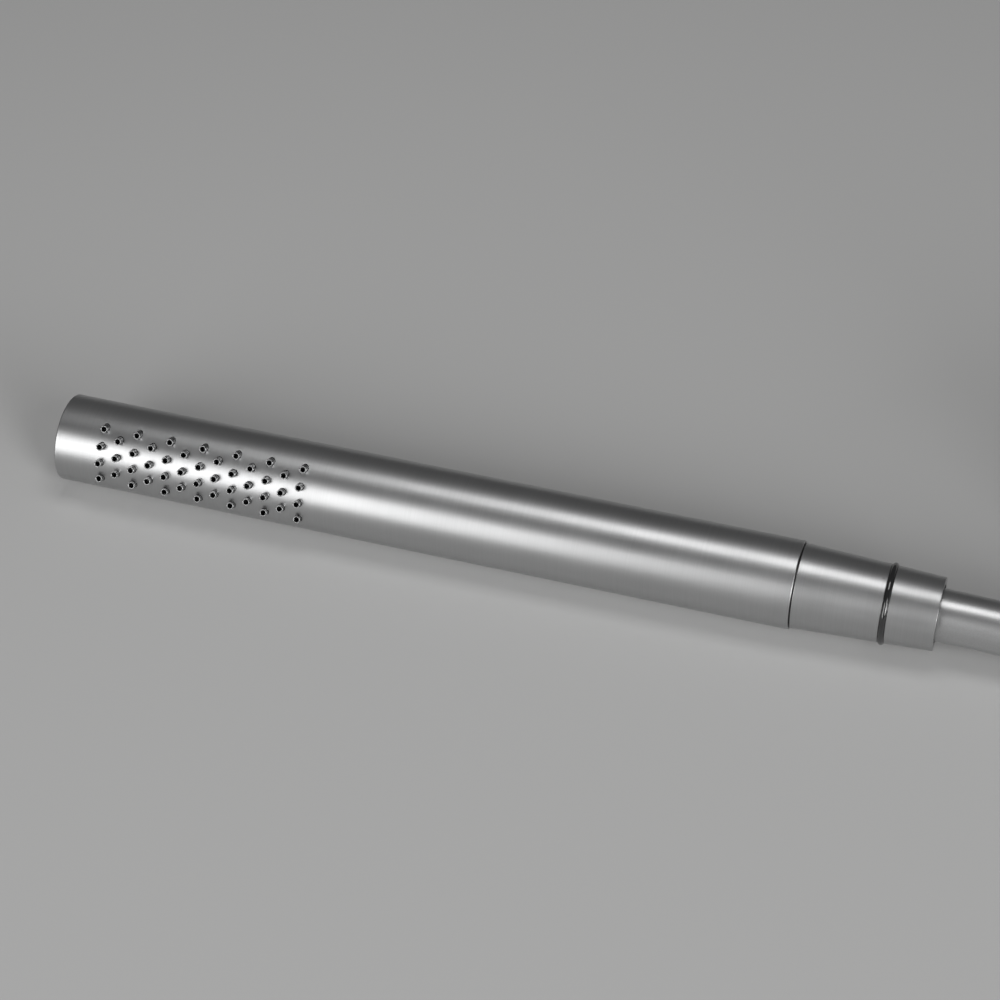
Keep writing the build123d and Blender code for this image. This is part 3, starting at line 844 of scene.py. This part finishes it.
def hose():
    """The hose from the swivel to the far fitting, as one smooth line."""
    curve = bpy.data.curves.new("shower_hose", "CURVE")
    curve.dimensions = "3D"
    curve.bevel_depth = hose_radius
    curve.bevel_resolution = 10
    curve.resolution_u = 10
    curve.use_fill_caps = True
    route = hose_route()
    line = curve.splines.new("NURBS")
    line.points.add(len(route) - 1)
    for point, place in zip(line.points, route):
        point.co = (*place, 1)
    line.order_u = 3
    line.use_endpoint_u = True
    curve.materials.append(hose_film)
    piece = bpy.data.objects.new("shower_hose", curve)
    bpy.context.scene.collection.objects.link(piece)
    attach(piece, "hose")
    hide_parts("hose", "hose_hank", "hose_hank_top")
    fittings = [
        far_sleeve(),
        union_nut(),
        hank_straps(),
        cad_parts["far_stem"],
        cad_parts["far_washer"],
    ]


# Studio


def area_lamp(name, place, target, width, height, power):
    """A soft box that faces a target."""
    lamp = bpy.data.lights.new(name, "AREA")
    lamp.shape = "RECTANGLE"
    lamp.size = width
    lamp.size_y = height
    lamp.energy = power
    holder = bpy.data.objects.new(name, lamp)
    holder.location = place
    holder.rotation_euler = (Vector(target) - Vector(place)).to_track_quat("-Z", "Y").to_euler()
    bpy.context.scene.collection.objects.link(holder)


def studio():
    """Pale floor, a dim room, and soft boxes to the front left, overhead and to the front right."""
    mesh = bpy.data.meshes.new("floor")
    corners = [(-1, -1), (1, -1), (1, 1), (-1, 1)]
    mesh.from_pydata([(x * floor_half, y * floor_half, 0) for x, y in corners], [], [(0, 1, 2, 3)])
    made, *_, shader = material("pale_floor")
    shader.inputs["Base Color"].default_value = floor_tone
    shader.inputs["Roughness"].default_value = 0.8
    shader.inputs["Specular IOR Level"].default_value = 0.1
    mesh.materials.append(made)
    floor = bpy.data.objects.new("floor", mesh)
    bpy.context.scene.collection.objects.link(floor)
    world = bpy.data.worlds.new("room")
    world.use_nodes = True
    world.node_tree.nodes["Background"].inputs["Color"].default_value = room_tone
    bpy.context.scene.world = world
    for name, (place, target, width, height, power) in soft_boxes.items():
        area_lamp(name, place, target, width, height, power)


def photo_camera():
    """The camera where the photograph was taken from."""
    data = bpy.data.cameras.new("photo_camera")
    data.lens = camera_lens
    data.sensor_width = camera_sensor
    data.clip_start = 0.01
    data.clip_end = 50.0
    holder = bpy.data.objects.new("photo_camera", data)
    back = camera_right.cross(camera_up)
    facing = Matrix((camera_right, camera_up, back)).transposed().to_4x4()
    holder.matrix_world = Matrix.Translation(camera_place) @ facing
    bpy.context.scene.collection.objects.link(holder)
    bpy.context.scene.camera = holder


photo_camera()
studio()
hose()
body_tube()
nozzle_tubes()
hose_nut()
grip_ring()
head_cap()
valve_spring()
bpy.context.scene.view_settings.view_transform = "Standard"
